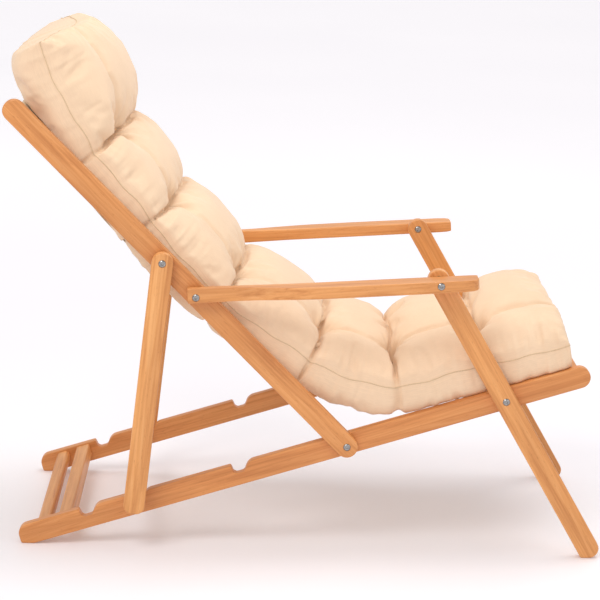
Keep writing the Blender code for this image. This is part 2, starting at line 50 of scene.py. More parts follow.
TOP_BAR_CLEAR = 0.0165      # from the stiles' centre line to the cushion on that stretch
TOP_BAR_DROP = 0.030        # how much lower it may sink beyond it


def direction(degrees):
    """Unit vector (x, z) in the side plane."""
    return np.array([math.cos(math.radians(degrees)), math.sin(math.radians(degrees))])


ALONG_BACK = direction(BACK_ANGLE)
OUT_OF_BACK = -direction(BACK_ANGLE + 90)     # towards the sitter
ALONG_RAIL = direction(BASE_ANGLE)
ABOVE_RAIL = direction(BASE_ANGLE + 90)


def on_stile(distance, offset):
    """World (x, z) of a point beside a back stile; a positive offset is the sitter's side."""
    return BACK_PIVOT + ALONG_BACK * distance + OUT_OF_BACK * offset


def on_rail(distance, offset):
    """World (x, z) of a point above a base rail."""
    return BACK_PIVOT + ALONG_RAIL * distance + ABOVE_RAIL * offset


# --- small numeric helpers ----------------------------------------------------------
def gaussian(values, sigma):
    """Smooth rows of values with a Gaussian, holding the slope at both ends."""
    values = np.asarray(values, float)
    reach = max(1, int(3 * sigma))
    kernel = np.exp(-0.5 * (np.arange(-reach, reach + 1) / sigma) ** 2)
    kernel /= kernel.sum()
    flat = values.reshape(len(values), -1)
    head = 2 * flat[0] - flat[reach:0:-1]
    tail = 2 * flat[-1] - flat[-2:-reach - 2:-1]
    padded = np.vstack([head, flat, tail])
    out = [np.convolve(padded[:, i], kernel, "valid") for i in range(flat.shape[1])]
    return np.stack(out, 1).reshape(values.shape)


def bell(distance, width):
    """1 at a distance of 0, falling to 0 in about two widths."""
    return np.exp(-(distance / width) ** 2)


def path_length(path):
    """Length of a polyline."""
    return np.linalg.norm(np.diff(path, axis=0), axis=1).sum()


def resample(points, count):
    """Evenly spaced points along a polyline."""
    points = np.asarray(points, float)
    lengths = np.r_[0, np.cumsum(np.linalg.norm(np.diff(points, axis=0), axis=1))]
    targets = np.linspace(0, lengths[-1], count)
    return np.stack([np.interp(targets, lengths, points[:, i]) for i in range(2)], 1)


def smooth_path(points, count, sigma_m):
    """Smooth evenly sampled curve near a list of points."""
    even = resample(points, count)
    return resample(gaussian(even, sigma_m * count / path_length(even)), count)


def tangents_of(path):
    """Unit tangents of a path."""
    tangent = np.gradient(path, axis=0)
    return tangent / np.linalg.norm(tangent, axis=1, keepdims=True)


def normals_of(path):
    """Unit normals (x, z) to the left of a path."""
    tangent = tangents_of(path)
    return np.stack([-tangent[:, 1], tangent[:, 0]], 1)


def nearest(path, point):
    """Share of the path's length at its nearest point."""
    return np.argmin(np.linalg.norm(path - point, axis=1)) / (len(path) - 1)


def in_space(flat, y):
    """World point from a side-plane (x, z) pair and y."""
    return np.array([flat[0], y, flat[1]])


# --- mesh helpers -------------------------------------------------------------------
TUBE_UP = np.array([0.31, 0.17, 0.93])    # parallel to no seam or thread
THREAD_TAPER = 0.35                       # radius of a thread's ends against its middle


def mesh_from(name, verts, faces, uv_per_vertex=None):
    """Mesh from arrays, smooth shaded, with an optional per-vertex UV."""
    mesh = bpy.data.meshes.new(name)
    mesh.from_pydata(verts.tolist(), [], faces)
    mesh.update()
    if uv_per_vertex is not None:
        layer = mesh.uv_layers.new(name="cloth")
        uv = uv_per_vertex[corner_vertices(mesh)]
        layer.data.foreach_set("uv", uv.astype(np.float32).ravel())
    mesh.shade_smooth()
    return mesh


def new_object(name, mesh, material):
    """Object in the scene with one material."""
    item = bpy.data.objects.new(name, mesh)
    bpy.context.collection.objects.link(item)
    mesh.materials.append(material)
    return item


def joined(name, pieces, material):
    """One object from many small closed pieces, each given as (vertices, faces)."""
    faces = []
    total = 0
    for verts, polygons in pieces:
        faces += [[vertex + total for vertex in polygon] for polygon in polygons]
        total += len(verts)
    verts = np.vstack([piece[0] for piece in pieces])
    return new_object(name, mesh_from(name, verts, faces), material)


def corner_vertices(mesh):
    """The vertex index at every face corner."""
    out = np.empty(len(mesh.loops), int)
    mesh.loops.foreach_get("vertex_index", out)
    return out


def per_vertex(mesh, attribute):
    """Positions or normals of the vertices as an array."""
    out = np.empty(len(mesh.vertices) * 3)
    mesh.vertices.foreach_get(attribute, out)
    return out.reshape(-1, 3)


def cloth_coordinates(mesh):
    """Each vertex's UV, which is in metres along and across the cloth."""
    flat = np.empty(len(mesh.loops) * 2)
    mesh.uv_layers[0].data.foreach_get("uv", flat)
    uv = np.zeros((len(mesh.vertices), 2))
    uv[corner_vertices(mesh)] = flat.reshape(-1, 2)
    return uv


def grid_quads(table, flip):
    """Quads between the neighbours in a table of vertex numbers."""
    a, b = table[:-1, :-1], table[1:, :-1]
    c, d = table[1:, 1:], table[:-1, 1:]
    order = (a, d, c, b) if flip else (a, b, c, d)
    return np.stack([corner.ravel() for corner in order], 1).tolist()


def rim_loop(table):
    """The outer entries of a table of vertex numbers, in order."""
    return [*table[0, :], *table[1:, -1], *table[-1, -2::-1], *table[-2:0:-1, 0]]


def tube(path, radius, sides, closed):
    """Vertices and side faces of a tube along 3-D points."""
    if closed:
        tangent = np.roll(path, -1, 0) - np.roll(path, 1, 0)
        tangent /= np.linalg.norm(tangent, axis=1, keepdims=True)
    else:
        tangent = tangents_of(path)
    side = np.cross(tangent, TUBE_UP)
    side /= np.linalg.norm(side, axis=1, keepdims=True)
    other = np.cross(side, tangent)
    turn = np.linspace(0, 2 * math.pi, sides, endpoint=False)[None, :, None]
    ring = np.cos(turn) * side[:, None] + np.sin(turn) * other[:, None]
    verts = (path[:, None] + radius * ring).reshape(-1, 3)
    faces = []
    rows = len(path)
    for i in range(rows if closed else rows - 1):
        j = (i + 1) % rows
        for k in range(sides):
            m = (k + 1) % sides
            faces.append([i * sides + k, i * sides + m, j * sides + m, j * sides + k])
    return verts, faces


def capsule(centre, axis, length, radius, rings, sides):
    """Vertices and faces of one short closed thread."""
    axis = axis / np.linalg.norm(axis)
    path = centre + np.outer(np.linspace(-0.5, 0.5, rings) * length, axis)
    verts, faces = tube(path, radius, sides, False)
    verts = verts.reshape(rings, sides, 3)
    for end in (0, -1):
        verts[end] = path[end] + (verts[end] - path[end]) * THREAD_TAPER
    faces.append(list(range(sides)))
    faces.append([(rings - 1) * sides + k for k in reversed(range(sides))])
    return verts.reshape(-1, 3), faces


# --- node materials -----------------------------------------------------------------
MIX_SOCKETS = (0, 6, 7)     # factor and the two colours of a Mix node
MIX_RESULT = 2


class Nodes:
    """Short way to write a node tree."""

    def __init__(self, name):
        self.material = bpy.data.materials.new(name)
        self.material.use_nodes = True
        self.tree = self.material.node_tree
        self.shader = self.tree.nodes["Principled BSDF"]

    def add(self, kind, inputs=(), **settings):
        """Add a node, set its properties, and set or link its inputs."""
        node = self.tree.nodes.new(kind)
        for key, value in settings.items():
            setattr(node, key, value)
        for key, value in dict(inputs).items():
            self.put(node.inputs[key], value)
        return node

    def put(self, socket, value):
        """Link an output socket, or set a value."""
        if isinstance(value, bpy.types.NodeSocket):
            self.tree.links.new(value, socket)
        else:
            socket.default_value = value

    def surface(self, **values):
        """Set or link the shader's own inputs, named with underscores for spaces."""
        for key, value in values.items():
            self.put(self.shader.inputs[key.replace("_", " ")], value)

    def coordinates(self, kind):
        """Object or UV coordinates."""
        return self.add("ShaderNodeTexCoord").outputs[kind]

    def ramp(self, factor, stops):
        """Colour ramp from (position, colour) stops."""
        node = self.add("ShaderNodeValToRGB", {"Fac": factor})
        elements = node.color_ramp.elements
        while len(elements) < len(stops):
            elements.new(0.5)
        for element, (position, colour) in zip(elements, stops):
            element.position = position
            element.color = (*colour, 1.0)
        return node.outputs["Color"]

    def multiply(self, factor, one, two):
        """Darken or tint one colour by another."""
        node = self.add("ShaderNodeMix", data_type="RGBA", blend_type="MULTIPLY")
        for socket, value in zip(MIX_SOCKETS, (factor, one, two)):
            self.put(node.inputs[socket], value)
        return node.outputs[MIX_RESULT]

    def math(self, operation, one, two=0.0):
        """Arithmetic on two values."""
        return self.add("ShaderNodeMath", {0: one, 1: two}, operation=operation).outputs[0]

    def ranged(self, value, span, start):
        """A value from 0 to 1 turned into one from start to start + span."""
        return self.math("ADD", self.math("MULTIPLY", value, span), start)

    def shared(self, one, share, two):
        """A share of one value plus the rest of another."""
        rest = self.math("MULTIPLY", two, 1 - share)
        return self.math("ADD", self.math("MULTIPLY", one, share), rest)

    def bump(self, height, strength, distance, normal=None):
        """Bump from a height, laid over another normal if there is one."""
        inputs = {"Height": height, "Strength": strength, "Distance": distance}
        if normal is not None:
            inputs["Normal"] = normal
        return self.add("ShaderNodeBump", inputs).outputs["Normal"]

    def noise(self, vector, scale, detail=4.0, roughness=0.5, distortion=0.0):
        """Noise value in 0 to 1."""
        return self.add(
            "ShaderNodeTexNoise",
            {
                "Vector": vector, "Scale": scale, "Detail": detail,
                "Roughness": roughness, "Distortion": distortion,
            },
        ).outputs["Fac"]


WHITE = (1.0, 1.0, 1.0)
BEECH = ((0.36, (0.58, 0.232, 0.066)), (0.50, (0.72, 0.325, 0.104)), (0.64, (0.80, 0.400, 0.150)))
BEECH_TONE = ((0.32, (0.86, 0.80, 0.76)), (0.62, (1.06, 1.05, 1.04)))
BEECH_PORES = ((0.27, (0.62, 0.52, 0.46)), (0.36, WHITE))
PORE_STRENGTH = 0.55
FIGURE_SHARE = 0.62         # of the grain's colour; the streaks give the rest
STREAK_RELIEF = 0.7         # of the grain's relief; the pores give the rest
# stretch along and across the grain, then the noise's scale, detail, roughness and distortion
GRAIN_LAYERS = {
    "broad": (1.5, 14.0, 1.6, 3.0, 0.55, 0.5),
    "figure": (3.2, 62.0, 1.3, 6.0, 0.6, 0.9),
    "streak": (5.0, 260.0, 1.2, 5.0, 0.6, 0.2),
    "fleck": (95.0, 760.0, 1.0, 2.0, 0.5, 0.0),
}
GRAIN_SHIFT = ((3.17, 11.0), (5.31, 7.0), (1.73, 5.0))    # step per timber, and its limit


def tinted(colour, gain, red):
    """Colour made lighter or darker, and redder."""
    return (colour[0] * gain, colour[1] * gain / red, colour[2] * gain / red**1.6)


def wood(name, degrees, seed, gain, red, across):
    """Oiled beech with its grain along a timber's own direction."""
    n = Nodes(name)
    turn = (0.0, 0.0, math.radians(-90.0)) if across else (0.0, math.radians(degrees), 0.0)
    aligned = n.add(
        "ShaderNodeMapping", {"Vector": n.coordinates("Object"), "Rotation": turn}
    ).outputs["Vector"]
    shift = tuple(seed * step % limit for step, limit in GRAIN_SHIFT)

    def layer(kind):
        along, beside, *settings = GRAIN_LAYERS[kind]
        scale = (along, beside, beside)
        stretched = n.add(
            "ShaderNodeMapping", {"Vector": aligned, "Scale": scale, "Location": shift}
        )
        return n.noise(stretched.outputs["Vector"], *settings)

    streak, fleck = layer("streak"), layer("fleck")
    stops = [(position, tinted(colour, gain, red)) for position, colour in BEECH]
    colour = n.ramp(n.shared(layer("figure"), FIGURE_SHARE, streak), stops)
    colour = n.multiply(1.0, colour, n.ramp(layer("broad"), BEECH_TONE))
    relief = n.shared(streak, STREAK_RELIEF, fleck)
    n.surface(
        Base_Color=n.multiply(PORE_STRENGTH, colour, n.ramp(fleck, BEECH_PORES)),
        Roughness=n.ranged(streak, span=0.22, start=0.33),
        Normal=n.bump(relief, strength=0.35, distance=0.0004),
        Specular_IOR_Level=0.42, Coat_Weight=0.12, Coat_Roughness=0.3,
    )
    return n.material


def steel(name):
    """Plated steel with fine turning marks and a little dullness."""
    n = Nodes(name)
    place = n.coordinates("Object")
    dull = n.noise(place, scale=260.0, detail=4.0, roughness=0.6)
    marks = n.noise(place, scale=1800.0, detail=2.0)
    n.surface(
        Base_Color=n.ramp(dull, [(0.30, (0.22, 0.215, 0.205)), (0.65, (0.42, 0.41, 0.40))]),
        Roughness=n.ranged(dull, span=0.25, start=0.16),
        Normal=n.bump(marks, strength=0.15, distance=0.0001),
        Metallic=1.0,
    )
    return n.material


CLOTH_CLOUDS = ((0.3, (0.95, 0.935, 0.92)), (0.7, (1.03, 1.03, 1.03)))
# painted shade: the cloth's colour darkens where the weave's height is low, between the threads
WEAVE_GAP_SHADE = ((0.10, (0.90, 0.885, 0.87)), (0.45, WHITE))
GAP_SHADE_STRENGTH = 0.7
THREAD_WOBBLE = 0.9         # how far a thread strays, in thread widths
YARN_STRETCH = (60.0, 1600.0, 1.0)
SLUB_LIGHT = 0.4            # how much lighter a yarn gets, against how much darker


def woven(name, colour, thread, relief, rough, slub, sheen):
    """Plain-woven cloth whose threads follow the UV map, which is in metres."""
    n = Nodes(name)
    uv, place = n.coordinates("UV"), n.coordinates("Object")
    wobble = n.add("ShaderNodeTexNoise", {"Vector": uv, "Scale": 55.0, "Detail": 2.0})
    offset = n.add(
        "ShaderNodeVectorMath",
        {0: wobble.outputs["Color"], 1: (thread * THREAD_WOBBLE,) * 3},
        operation="MULTIPLY",
    ).outputs[0]
    laid = n.add("ShaderNodeVectorMath", {0: uv, 1: offset}, operation="ADD").outputs[0]
    parts = n.add("ShaderNodeSeparateXYZ", {"Vector": laid}).outputs
    turns = math.pi / thread
    warp = n.math("SINE", n.math("MULTIPLY", parts["X"], turns))
    weft = n.math("SINE", n.math("MULTIPLY", parts["Y"], turns))
    height = n.ranged(n.math("MULTIPLY", warp, weft), span=0.5, start=0.5)
    clouds = n.noise(place, scale=9.0, detail=4.0, roughness=0.55)
    yarns = n.add("ShaderNodeMapping", {"Vector": uv, "Scale": YARN_STRETCH})
    slubs = [(0.35, (1.0 - slub,) * 3), (0.65, (1.0 + slub * SLUB_LIGHT,) * 3)]
    yarn_tint = n.ramp(n.noise(yarns.outputs["Vector"], scale=1.0, detail=3.0), slubs)
    tint = n.multiply(1.0, (*colour, 1.0), n.ramp(clouds, CLOTH_CLOUDS))
    tint = n.multiply(1.0, tint, yarn_tint)
    creased = n.noise(place, scale=42.0, detail=5.0, roughness=0.6)
    soft = n.bump(creased, strength=0.16, distance=0.0016)
    n.surface(
        # the base colour carries painted shade in the weave's low points
        Base_Color=n.multiply(GAP_SHADE_STRENGTH, tint, n.ramp(height, WEAVE_GAP_SHADE)),
        Roughness=rough, Specular_IOR_Level=0.25, Sheen_Weight=sheen, Sheen_Roughness=0.45,
        Normal=n.bump(height, strength=0.5, distance=relief, normal=soft),
    )
    return n.material


def thread_material(name, colour):
    """Twisted sewing thread."""
    n = Nodes(name)
    twist = n.noise(n.coordinates("Object"), scale=900.0, detail=2.0)
    shadow = tuple(0.78 * part for part in colour)
    n.surface(
        Base_Color=n.ramp(twist, [(0.3, shadow), (0.7, colour)]),
        Normal=n.bump(twist, strength=0.4, distance=0.0003),
        Roughness=0.8,
    )
    return n.material


# --- carried-over CAD nodes ---------------------------------------------------------
# start of a node's name: direction of its grain, lightness, redness, and whether it runs across
WOOD_LOOKS = {
    "base_rail": (BASE_ANGLE, 0.93, 1.10, False),
    "back_stile": (BACK_ANGLE, 0.95, 1.06, False),
    "front_leg": (LEG_ANGLE, 1.02, 1.00, False),
    "arm_": (ARM_ANGLE, 0.98, 1.03, False),
    "prop_left": (PROP_ANGLE, 1.06, 0.97, False),
    "prop_right": (PROP_ANGLE, 1.06, 0.97, False),
    "prop_bar": (0.0, 0.98, 1.05, True),
    "rear_rail": (0.0, 1.03, 0.99, True),
    "front_rail": (0.0, 0.97, 1.04, True),
    "top_back": (0.0, 0.95, 1.05, True),
}
HARDWARE = ("bolt", "nut", "washer")
SOFT_PARTS = ("cushion", "sling")


def dress_frame():
    """Give every carried-over wooden and steel node its material."""
    metal = steel("plated_steel")
    for seed, (name, node) in enumerate(sorted(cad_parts.items()), 1):
        if name.startswith(SOFT_PARTS):
            continue
        if any(word in name for word in HARDWARE):
            material = metal
        else:
            start = next(key for key in WOOD_LOOKS if name.startswith(key))
            degrees, gain, red, across = WOOD_LOOKS[start]
            material = wood("beech_" + name, degrees, seed, gain, red, across)
        node.data.materials.clear()
        node.data.materials.append(material)


# --- sling line ---------------------------------------------------------------------
SLING_HALF = 0.2115         # half the width between the hems
SLING_THICK = 0.0014
# (distance along the stile, offset), from the front of the top bar over it and down its back
TOP_LOOP = (
    (0.8200, 0.0133), (0.8400, 0.0133), (0.8565, 0.0125), (0.8578, 0.0),
    (0.8565, -0.0125), (0.8400, -0.0133), (0.8150, -0.0135),
)
SLING_BACK = (
    (0.780, -0.0142), (0.700, -0.021), (0.600, -0.031), (0.540, -0.0325), (0.480, -0.0325),
    (0.390, -0.029), (0.300, -0.013), (0.200, 0.012), (0.100, 0.033),
)
# (distance along the rail, offset), forward to the front bar, then behind and under it
SLING_SEAT = (
    (0.030, 0.056), (0.080, 0.042), (0.150, 0.028), (0.230, 0.0225), (0.320, 0.0215),
    (0.4020, 0.0200),
)
FRONT_LOOP = (
    (0.4140, 0.0120), (0.4158, 0.0030), (0.4162, -0.0060), (0.4200, -0.0086),
    (0.4350, -0.0088), (0.4480, -0.0088),
)
HUNG_POINTS = 400
HUNG_SMOOTHING = 0.012      # metres over which its corners are eased


def hung_line():
    """Side-plane path of the canvas between the top bar and the front bar."""
    hung = [on_stile(*point) for point in SLING_BACK] + [on_rail(*point) for point in SLING_SEAT]
    return smooth_path(np.array(hung), HUNG_POINTS, HUNG_SMOOTHING)


# --- cushion shape ------------------------------------------------------------------
HALF_WIDTH = 0.2365         # half the cushion's width at its side seams
WIDEST = 0.2400             # and the most it may swell to between the stiles
# the side seam in the side plane (x, z), from the head down to the knees
SEAM_LINE = np.array([
    (-0.4915, 0.9330), (-0.4684, 0.8730), (-0.4236, 0.7885), (-0.3821, 0.7308),
    (-0.3194, 0.6594), (-0.2559, 0.5800), (-0.1869, 0.5030), (-0.1162, 0.4440),
    (-0.0549, 0.4030), (0.0108, 0.3640), (0.0600, 0.3370), (0.1208, 0.3180),
    (0.1645, 0.3150), (0.2100, 0.3265), (0.2503, 0.3390), (0.3019, 0.3540),
    (0.3489, 0.3680), (0.3966, 0.3790), (0.4438, 0.3880), (0.4863, 0.4013),
])
SEAM_SMOOTHING = 0.022      # metres over which its corners are eased
# where each row of tufts crosses the seam
ROW_POINTS = (
    on_stile(0.706, 0.050), on_stile(0.545, 0.030), on_stile(0.352, 0.022),
    np.array([0.0108, 0.363]), np.array([0.166, 0.314]), np.array([0.330, 0.363]),
)
TUFT_COLUMN = 0.56          # share of the half width at which the tufts sit
TUFT_COLUMNS = (-TUFT_COLUMN, TUFT_COLUMN)
# fullness above and below the seam for the head roll, then each cell to the front
FULL_ABOVE = (0.096, 0.066, 0.067, 0.068, 0.074, 0.084, 0.093)
FULL_BELOW = (0.072, 0.092, 0.092, 0.088, 0.082, 0.084, 0.080)
FULL_SPREAD = 0.016         # share of the length over which one cell's fullness becomes the next's
LENGTHWISE = 228
CROSSWISE = 84
EDGE_CROWDING = 0.35        # how much the mesh's columns crowd towards the sides
# powers of the curves that swell from a crease or an end up to full height
ROW_CURVE = (4.2, 0.50)
COLUMN_CURVE = (2.4, 0.6)
END_CURVE = (2.2, 0.48)
RIM_POWER_ABOVE = 5.0       # how squarely the top and the underside meet the side seam
RIM_POWER_BELOW = 8.0
DOME = 0.50                 # share of the top's height that falls away towards the sides
END_ROUND = 0.052           # length over which each end fattens up
END_REACH = 0.10            # length over which an end's face and corners have their shape
CORNER_PULL = 0.014         # how far the middle of an end is drawn in from its corners
END_BULGE_ABOVE = 0.014     # how far each end's face swells past its seam
END_BULGE_BELOW = 0.003
END_WAIST = 0.014           # how far the sides draw in next to each end
ROW_WAIST = 0.012           # how far the sides draw in at each row of tufts
SEAM_SAG = 0.0045           # how far the side seam dips at each row of tufts
SEAM_WAVE = 0.0028
SEAM_WAVE_RATES = (58.0, 23.0)    # radians per metre
SEAM_WAVE_PHASE = 0.6
# depth of the creases as shares of the fullness
ROW_DEPTH = 0.50
ROW_DEPTH_LESS = 0.20       # taken off between the columns
ROW_DEPTH_MORE = 0.16       # added towards the sides
COLUMN_DEPTH = 0.32
COLUMN_ON_CELL = 0.35       # how much of a column's depth is lost on top of a cell
TUFT_DEPTH = 0.26
TUFT_SPREAD = 0.017
UNDER_DEPTH = 0.24          # the underside's creases against the top's


def swelling(away, powers):
    """0 where away is 1, rising steeply and levelling off to 1 where away is 0."""
    return (1 - np.clip(away, 0, 1) ** powers[0]) ** powers[1]


class CushionShape:
    """Where each point of the cushion's top and underside starts."""

    def __init__(self):
        self.path = smooth_path(SEAM_LINE, LENGTHWISE * 4 + 1, SEAM_SMOOTHING)
        self.length = path_length(self.path)
        self.normal = normals_of(self.path)
        self.rows = [nearest(self.path, point) for point in ROW_POINTS]
        self.share = np.linspace(0.0, 1.0, len(self.path))
        edges = np.array([0.0, *self.rows, 1.0])
        last = len(edges) - 2
        cell = np.clip(np.searchsorted(edges, self.share, "right") - 1, 0, last)
        within = (self.share - edges[cell]) / (edges[cell + 1] - edges[cell])
        bow = np.abs(2 * within - 1)
        bow = np.where(cell == 0, within, bow)
        bow = np.where(cell == last, 1 - within, bow)
        self.row_fill = swelling(bow, ROW_CURVE)
        spread = len(self.path) * FULL_SPREAD
        self.above = gaussian(np.array(FULL_ABOVE)[cell], spread)
        self.below = gaussian(np.array(FULL_BELOW)[cell], spread)
        ahead = np.minimum(self.share, 1 - self.share) * self.length / END_ROUND
        self.end = swelling(1 - np.clip(ahead, 0, 1), END_CURVE)

    def at(self, share, values):
        """Interpolate per-station values at shares of the length."""
        if values.ndim == 1:
            return np.interp(share, self.share, values)
        return np.stack([np.interp(share, self.share, values[:, i]) for i in range(2)], -1)

    def tuft_offsets(self, share, across):
        """Metres along and across from each tuft, one pair per tuft."""
        for row in self.rows:
            for column in TUFT_COLUMNS:
                yield (share - row) * self.length, (across - column) * HALF_WIDTH

    def column_fill(self, size):
        """0 along the tuft columns, rising to 1 between them and at the rims."""
        inner = swelling(size / TUFT_COLUMN, COLUMN_CURVE)
        outer = swelling((1 - size) / (1 - TUFT_COLUMN), COLUMN_CURVE)
        return np.where(size < TUFT_COLUMN, inner, outer)

    def creases(self, station, across, row, above):
        """Share of the fullness that the rows, columns and tufts take away."""
        size = np.abs(across)
        column = self.column_fill(size)
        between = np.where(size < TUFT_COLUMN, column, 0.0)
        beside = np.where(size < TUFT_COLUMN, 0.0, size**4)
        depth = ROW_DEPTH - ROW_DEPTH_LESS * between + ROW_DEPTH_MORE * beside
        dip = depth * (1 - row) + COLUMN_DEPTH * (1 - column) * (1 - COLUMN_ON_CELL * row)
        tufts = sum(
            np.exp(-0.5 * (along_m**2 + across_m**2) / TUFT_SPREAD**2)
            for along_m, across_m in self.tuft_offsets(station, across)
        )
        dip = dip + TUFT_DEPTH * np.clip(tufts, 0, 1)
        return dip if above else dip * UNDER_DEPTH

    def place(self, share, across, above):
        """World points for arrays of (share, across) on the top or the underside."""
        from_end = np.minimum(share, 1 - share) * self.length
        near_end = np.clip(1 - from_end / END_REACH, 0, 1)
        size = np.abs(across)
        pull = CORNER_PULL * (1 - size**4) * near_end**2 / self.length
        station = np.where(share < 0.5, share + pull, share - pull)
        row = self.at(station, self.row_fill)
        rim = np.sqrt(1 - size ** (RIM_POWER_ABOVE if above else RIM_POWER_BELOW))
        if above:
            rim = rim * (DOME + (1 - DOME) * (1 - size**2))
        height = self.at(station, self.above if above else self.below)
        dip = self.creases(station, across, row, above)
        fat = height * rim * self.at(station, self.end) * (1 - dip)
        waist = ROW_WAIST * (1 - row) ** 1.5 * size**3
        end_waist = END_WAIST * near_end * size**3 * (1 - near_end)
        y = across * (HALF_WIDTH - waist - end_waist)
        normal = self.at(station, self.normal)
        quick, slow = (station * self.length * rate for rate in SEAM_WAVE_RATES)
        wave = np.sin(quick + SEAM_WAVE_PHASE) * np.sin(slow)
        sag = (SEAM_WAVE * wave - SEAM_SAG * (1 - row) ** 2) * size**6 * (1 - near_end)
        lifted = (fat if above else -fat) + sag
        share_up = np.clip(fat / np.maximum(height, 1e-6), 0, 1)
        bulge = END_BULGE_ABOVE if above else END_BULGE_BELOW
        swell = bulge * near_end * np.sin(math.pi * share_up**0.8) * (1 - size**6)
        outward = np.where(station < 0.5, -1.0, 1.0) * swell
        tangent = np.stack([normal[..., 1], -normal[..., 0]], -1)
        point = self.at(station, self.path) + normal * lifted[..., None]
        point = point + tangent * outward[..., None]
        return np.stack([point[..., 0], y, point[..., 1]], -1)


def cushion_grid(shape):
    """Closed pillow: vertices, quads, each vertex's (share, across), and which are on top."""
    share = np.linspace(0, 1, LENGTHWISE + 1)
    turn = np.linspace(-1, 1, CROSSWISE + 1)
    across = np.sin(turn * math.pi / 2) * EDGE_CROWDING + turn * (1 - EDGE_CROWDING)
    grid = np.stack(np.meshgrid(share, across, indexing="ij"), -1)
    top = shape.place(grid[..., 0], grid[..., 1], True)
    under = shape.place(grid[..., 0], grid[..., 1], False)
    index = np.arange(grid[..., 0].size).reshape(grid.shape[:2])
    inner = np.zeros(grid.shape[:2], bool)
    inner[1:-1, 1:-1] = True
    low = index.copy()
    low[inner] = index.size + np.arange(inner.sum())
    verts = np.vstack([top.reshape(-1, 3), under[inner]])
    place = np.vstack([grid.reshape(-1, 2), grid[inner]])
    is_top = np.arange(len(verts)) < index.size
    return verts, grid_quads(index, False) + grid_quads(low, True), place, is_top


def rim_points(points):
    """The seam's vertices in order round the cushion; they kept their places in the mesh."""
    index = np.arange((LENGTHWISE + 1) * (CROSSWISE + 1)).reshape(LENGTHWISE + 1, CROSSWISE + 1)
    return points[rim_loop(index)]


# --- cushion cloth ------------------------------------------------------------------
SIM_FRAMES = 20
SIM_CAP = 0.020             # how far the simulation may move a point
CLOTH = {
    "quality": 5, "mass": 0.2, "tension_stiffness": 14.0, "compression_stiffness": 8.0,
    "shear_stiffness": 5.0, "bending_stiffness": 0.12, "use_pressure": True,
    "uniform_pressure_force": 4.0, "shrink_min": -0.055, "pin_stiffness": 1.0,
}
HELD_ROW = (0.35, 0.005)    # how firmly a row is held, and half the width held
HELD_TUFT = 0.006
HELD_UNDER = (0.6, 0.12)    # the underside's hold against the top's, and its least
HELD_RIM = 0.55
HELD_LEAST = 0.02
EDGE_SLACK = 1e-6


def hold_weights(place, is_top, shape):
    """How firmly each vertex is held while the cloth swells."""
    hold = np.zeros(len(place))
    firm, wide = HELD_ROW
    for along_m, across_m in shape.tuft_offsets(*place.T):
        hold = np.maximum(hold, firm * np.exp(-0.5 * (along_m / wide) ** 2))
        near = np.exp(-0.5 * (along_m**2 + across_m**2) / HELD_TUFT**2)
        hold = np.maximum(hold, near)
    less, least = HELD_UNDER
    hold = np.where(is_top, hold, np.maximum(hold * less, least))
    at_side = np.abs(place[:, 1]) > 1 - EDGE_SLACK
    at_end = np.abs(place[:, 0] - 0.5) > 0.5 - EDGE_SLACK
    return np.where(at_side | at_end, HELD_RIM, hold)


def inflate(item, weights):
    """Let the cloth swell and wrinkle between its tufts, then apply the result."""
    group = item.vertex_groups.new(name="held")
    for vertex, weight in enumerate(weights):
        if weight > HELD_LEAST:
            group.add([vertex], float(min(1.0, weight)), "REPLACE")
    modifier = item.modifiers.new("swell", "CLOTH")
    for setting, value in CLOTH.items():
        setattr(modifier.settings, setting, value)
    modifier.settings.vertex_group_mass = group.name
    modifier.settings.effector_weights.gravity = 0.0
    modifier.collision_settings.use_collision = False
    modifier.collision_settings.use_self_collision = False
    start = per_vertex(item.data, "co")
    for step in range(1, SIM_FRAMES + 1):
        bpy.context.scene.frame_set(step)
    evaluated = item.evaluated_get(bpy.context.evaluated_depsgraph_get())
    move = per_vertex(evaluated.to_mesh(), "co") - start
    evaluated.to_mesh_clear()
    item.modifiers.clear()
    item.vertex_groups.clear()
    bpy.context.scene.frame_set(1)
    size = np.linalg.norm(move, axis=1, keepdims=True)
    move *= np.minimum(1.0, SIM_CAP / np.maximum(size, 1e-9))
    item.data.vertices.foreach_set("co", (start + move).ravel())
    item.data.update()


def subdivided(item):
    """Replace an object's mesh by one level of subdivision."""
    modifier = item.modifiers.new("fine", "SUBSURF")
    modifier.levels = modifier.render_levels = 1
    evaluated = item.evaluated_get(bpy.context.evaluated_depsgraph_get())
    mesh = bpy.data.meshes.new_from_object(evaluated)
    item.modifiers.clear()
    item.data = mesh


# --- cushion details ----------------------------------------------------------------
WRINKLE_SEED = 7
FOLD_HEIGHT = 0.0036        # of the folds that radiate from a tuft
FOLD_COUNTS = (5, 8, 11)
FOLD_FADE = 0.030
FOLD_RISE = 0.008           # distance from the tuft over which they reach their height
FOLD_TWIST = 18             # radians per metre
GATHER_HEIGHT = 0.0020      # of the gathers along the side seams
GATHER_HEIGHT_END = 0.0032
GATHER_WAVES = ((31.0, 1.0), (47.0, 0.9), (73.0, 0.5), (110.0, 0.3))    # per metre, weight
GATHER_FADE = 0.026
GATHER_RISE = 0.005         # distance from the seam over which they reach their height
GATHER_DRIFT = 25           # radians per metre
GATHER_PATCHES = ((23.0, 1.3), (9.1, 0.4))    # radians per metre, phase
GATHER_CALM = 0.9           # how much weaker they are where the cloth faces down
GATHER_LEAST = 0.2
SEAM_PINCH = (0.0018, 0.0035)     # depth and half width of the groove at the seam,
TUFT_PINCH = (0.0045, 0.0065)     # of the pit at a tuft,
CREASE_PINCH = (0.0088, 0.0036)   # and of the crease along a row
CREASE_WANDER = ((0.0022, 37.0, 0.7), (0.0012, 91.0, 0.0))    # metres, radians per metre, phase
CREASE_FACING = 0.7         # depth where the cloth faces sideways, and its change with facing
CREASE_LEAST = 0.1
CREASE_FADE = 0.004         # length over which a crease dies out at the seam
SLING_CLEAR = 0.0022        # gap between the cushion and the middle of the canvas
PAST_HEM = 0.002            # margin beyond the canvas's hem
SAG_PAST_HEM = 1.6          # how fast the cushion may sink beside the canvas
